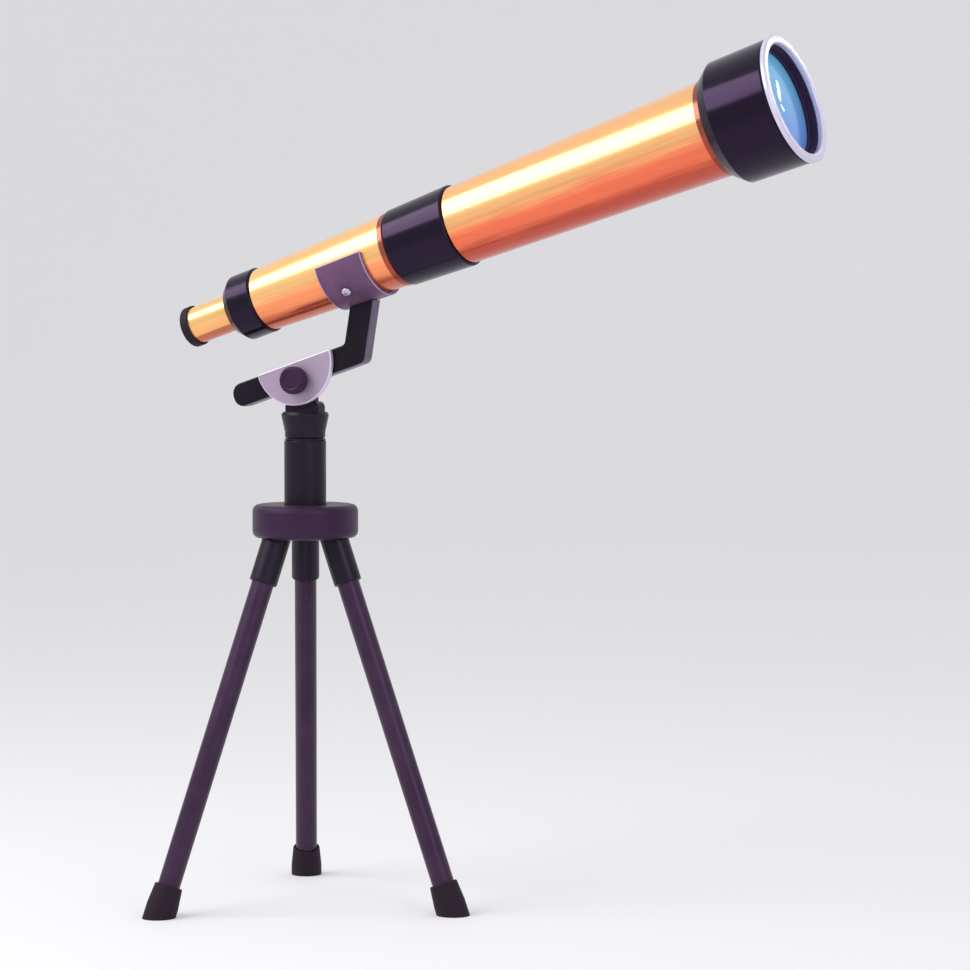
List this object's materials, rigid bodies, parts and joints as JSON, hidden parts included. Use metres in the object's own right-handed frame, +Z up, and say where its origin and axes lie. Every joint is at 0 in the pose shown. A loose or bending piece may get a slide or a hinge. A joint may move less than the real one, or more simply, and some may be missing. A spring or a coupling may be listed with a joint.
{
  "type": "telescope on tripod",
  "caption": "Small refracting telescope with a hooded lens, tapered gold tubes and black collars, on a bent cradle arm, tilt clamp and folding three-legged table stand.",
  "frame": {"origin": "bottom centre of the bounding box, on the plane the feet stand on", "axes": "+X level, towards the objective end; +Y away from the clamp knob; +Z up"},
  "size_m": [0.3553, 0.1672, 0.4417],
  "materials": {
    "gold_lacquer": "gloss",
    "black_plastic": "satin",
    "black_metal": "satin",
    "black_matte": "matte",
    "aubergine_plastic": "satin",
    "aubergine_metal": "satin",
    "lilac_metal": "satin",
    "plum_metal": "satin",
    "silver_ring": "polished",
    "lens_glass": "polished",
    "bright_steel": "satin",
    "black_rubber": "matte",
    "brass": "satin",
    "white_nylon": "satin"
  },
  "bodies": {
    "stand": {"hub": "aubergine_plastic", "column": "black_metal", "column_plug": "black_matte", "column_bolt": "bright_steel", "column_nut": "bright_steel", "swivel_washer": "black_matte", "leg_pin_1": "black_metal", "leg_pin_2": "black_metal", "leg_pin_3": "black_metal"},
    "leg_1": {"leg_sleeve_1": "black_plastic", "leg_tube_1": "aubergine_metal", "foot_1": "black_rubber"},
    "leg_2": {"leg_sleeve_2": "black_plastic", "leg_tube_2": "aubergine_metal", "foot_2": "black_rubber"},
    "leg_3": {"leg_sleeve_3": "black_plastic", "leg_tube_3": "aubergine_metal", "foot_3": "black_rubber"},
    "pan_head": {"pan_head": "black_metal", "pan_bolt": "bright_steel"},
    "telescope": {"cradle_arm": "black_metal", "cheek": "lilac_metal", "tilt_bolt": "bright_steel", "tilt_washer_near": "bright_steel", "tilt_washer_far": "bright_steel", "saddle": "plum_metal", "saddle_screw_near": "bright_steel", "saddle_screw_far": "bright_steel", "saddle_nut_near": "bright_steel", "saddle_nut_far": "bright_steel", "arm_screw": "bright_steel", "rear_tube": "gold_lacquer", "middle_collar": "black_plastic", "front_tube": "gold_lacquer", "rear_collar": "black_plastic", "draw_tube_bush": "white_nylon", "baffle_rear": "black_matte", "baffle_front": "black_matte", "objective_hood": "black_plastic", "objective_cell": "black_matte", "objective_lens": "lens_glass", "lens_retainer": "black_matte", "objective_ring": "silver_ring"},
    "eyepiece": {"draw_tube": "gold_lacquer", "eyecup": "black_rubber", "eye_lens": "lens_glass", "eye_lens_spacer": "black_matte", "field_lens": "lens_glass", "eyepiece_retainer": "black_matte"},
    "clamp_knob": {"tilt_knob": "aubergine_plastic", "knob_insert": "brass"}
  },
  "joints": [
    {"name": "pan", "type": "hinge", "parent": "stand", "child": "pan_head", "pos_m": [-0.1049, 0, 0.243], "axis": [0, 0, 1], "continuous": true},
    {"name": "tilt", "type": "hinge", "parent": "pan_head", "child": "telescope", "pos_m": [-0.1049, 0, 0.273], "axis": [0, -1, 0], "range_deg": [-35, 22]},
    {"name": "focus_slide", "type": "slide", "parent": "telescope", "child": "eyepiece", "axis": [-0.9511, 0, -0.309], "range_m": [-0.018, 0.019]},
    {"name": "clamp_knob_turn", "type": "hinge", "parent": "telescope", "child": "clamp_knob", "pos_m": [-0.1049, 0, 0.273], "axis": [0, -1, 0], "range_deg": [0, 270]},
    {"name": "leg_1_fold", "type": "hinge", "parent": "stand", "child": "leg_1", "pos_m": [-0.0894, 0, 0.1955], "axis": [0, -1, 0], "range_deg": [-20, 0]},
    {"name": "leg_2_fold", "type": "hinge", "parent": "stand", "child": "leg_2", "pos_m": [-0.11265, 0.01342, 0.1955], "axis": [0.866, 0.5, 0], "range_deg": [-20, 0]},
    {"name": "leg_3_fold", "type": "hinge", "parent": "stand", "child": "leg_3", "pos_m": [-0.11265, -0.01342, 0.1955], "axis": [-0.866, 0.5, 0], "range_deg": [-20, 0]}
  ]
}
